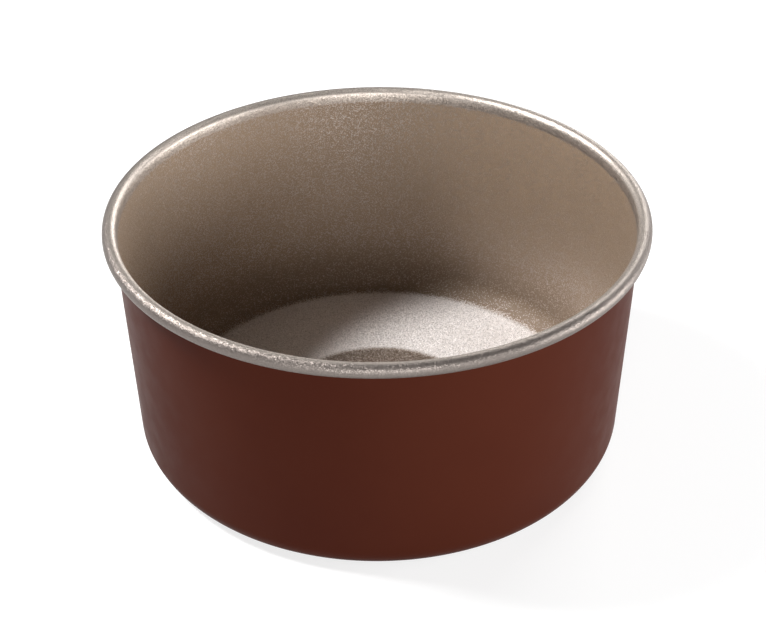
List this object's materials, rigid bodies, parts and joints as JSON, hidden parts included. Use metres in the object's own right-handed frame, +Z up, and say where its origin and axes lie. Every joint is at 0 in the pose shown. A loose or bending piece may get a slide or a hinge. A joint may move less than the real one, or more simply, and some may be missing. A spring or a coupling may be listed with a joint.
{
  "type": "souffle mould",
  "caption": "Round, nearly straight-sided baking mould of coated sheet steel, with a rolled rim, a metallic non-stick inside and a brown enamelled outside.",
  "frame": {"origin": "centre of the base, at the level of the surface that the mould stands on", "axes": "+Z up along the axis of the mould, out of its open top; X and Y across the round body, with no preferred direction"},
  "size_m": [0.16, 0.16, 0.075],
  "materials": {
    "steel_sheet": "satin",
    "steel_wire": "satin",
    "lining": "satin",
    "enamel": "satin"
  },
  "bodies": {
    "root": {"pressed_shell": "steel_sheet", "rim_wire": "steel_wire", "nonstick_lining": "lining", "enamel_coat": "enamel"}
  },
  "joints": []
}
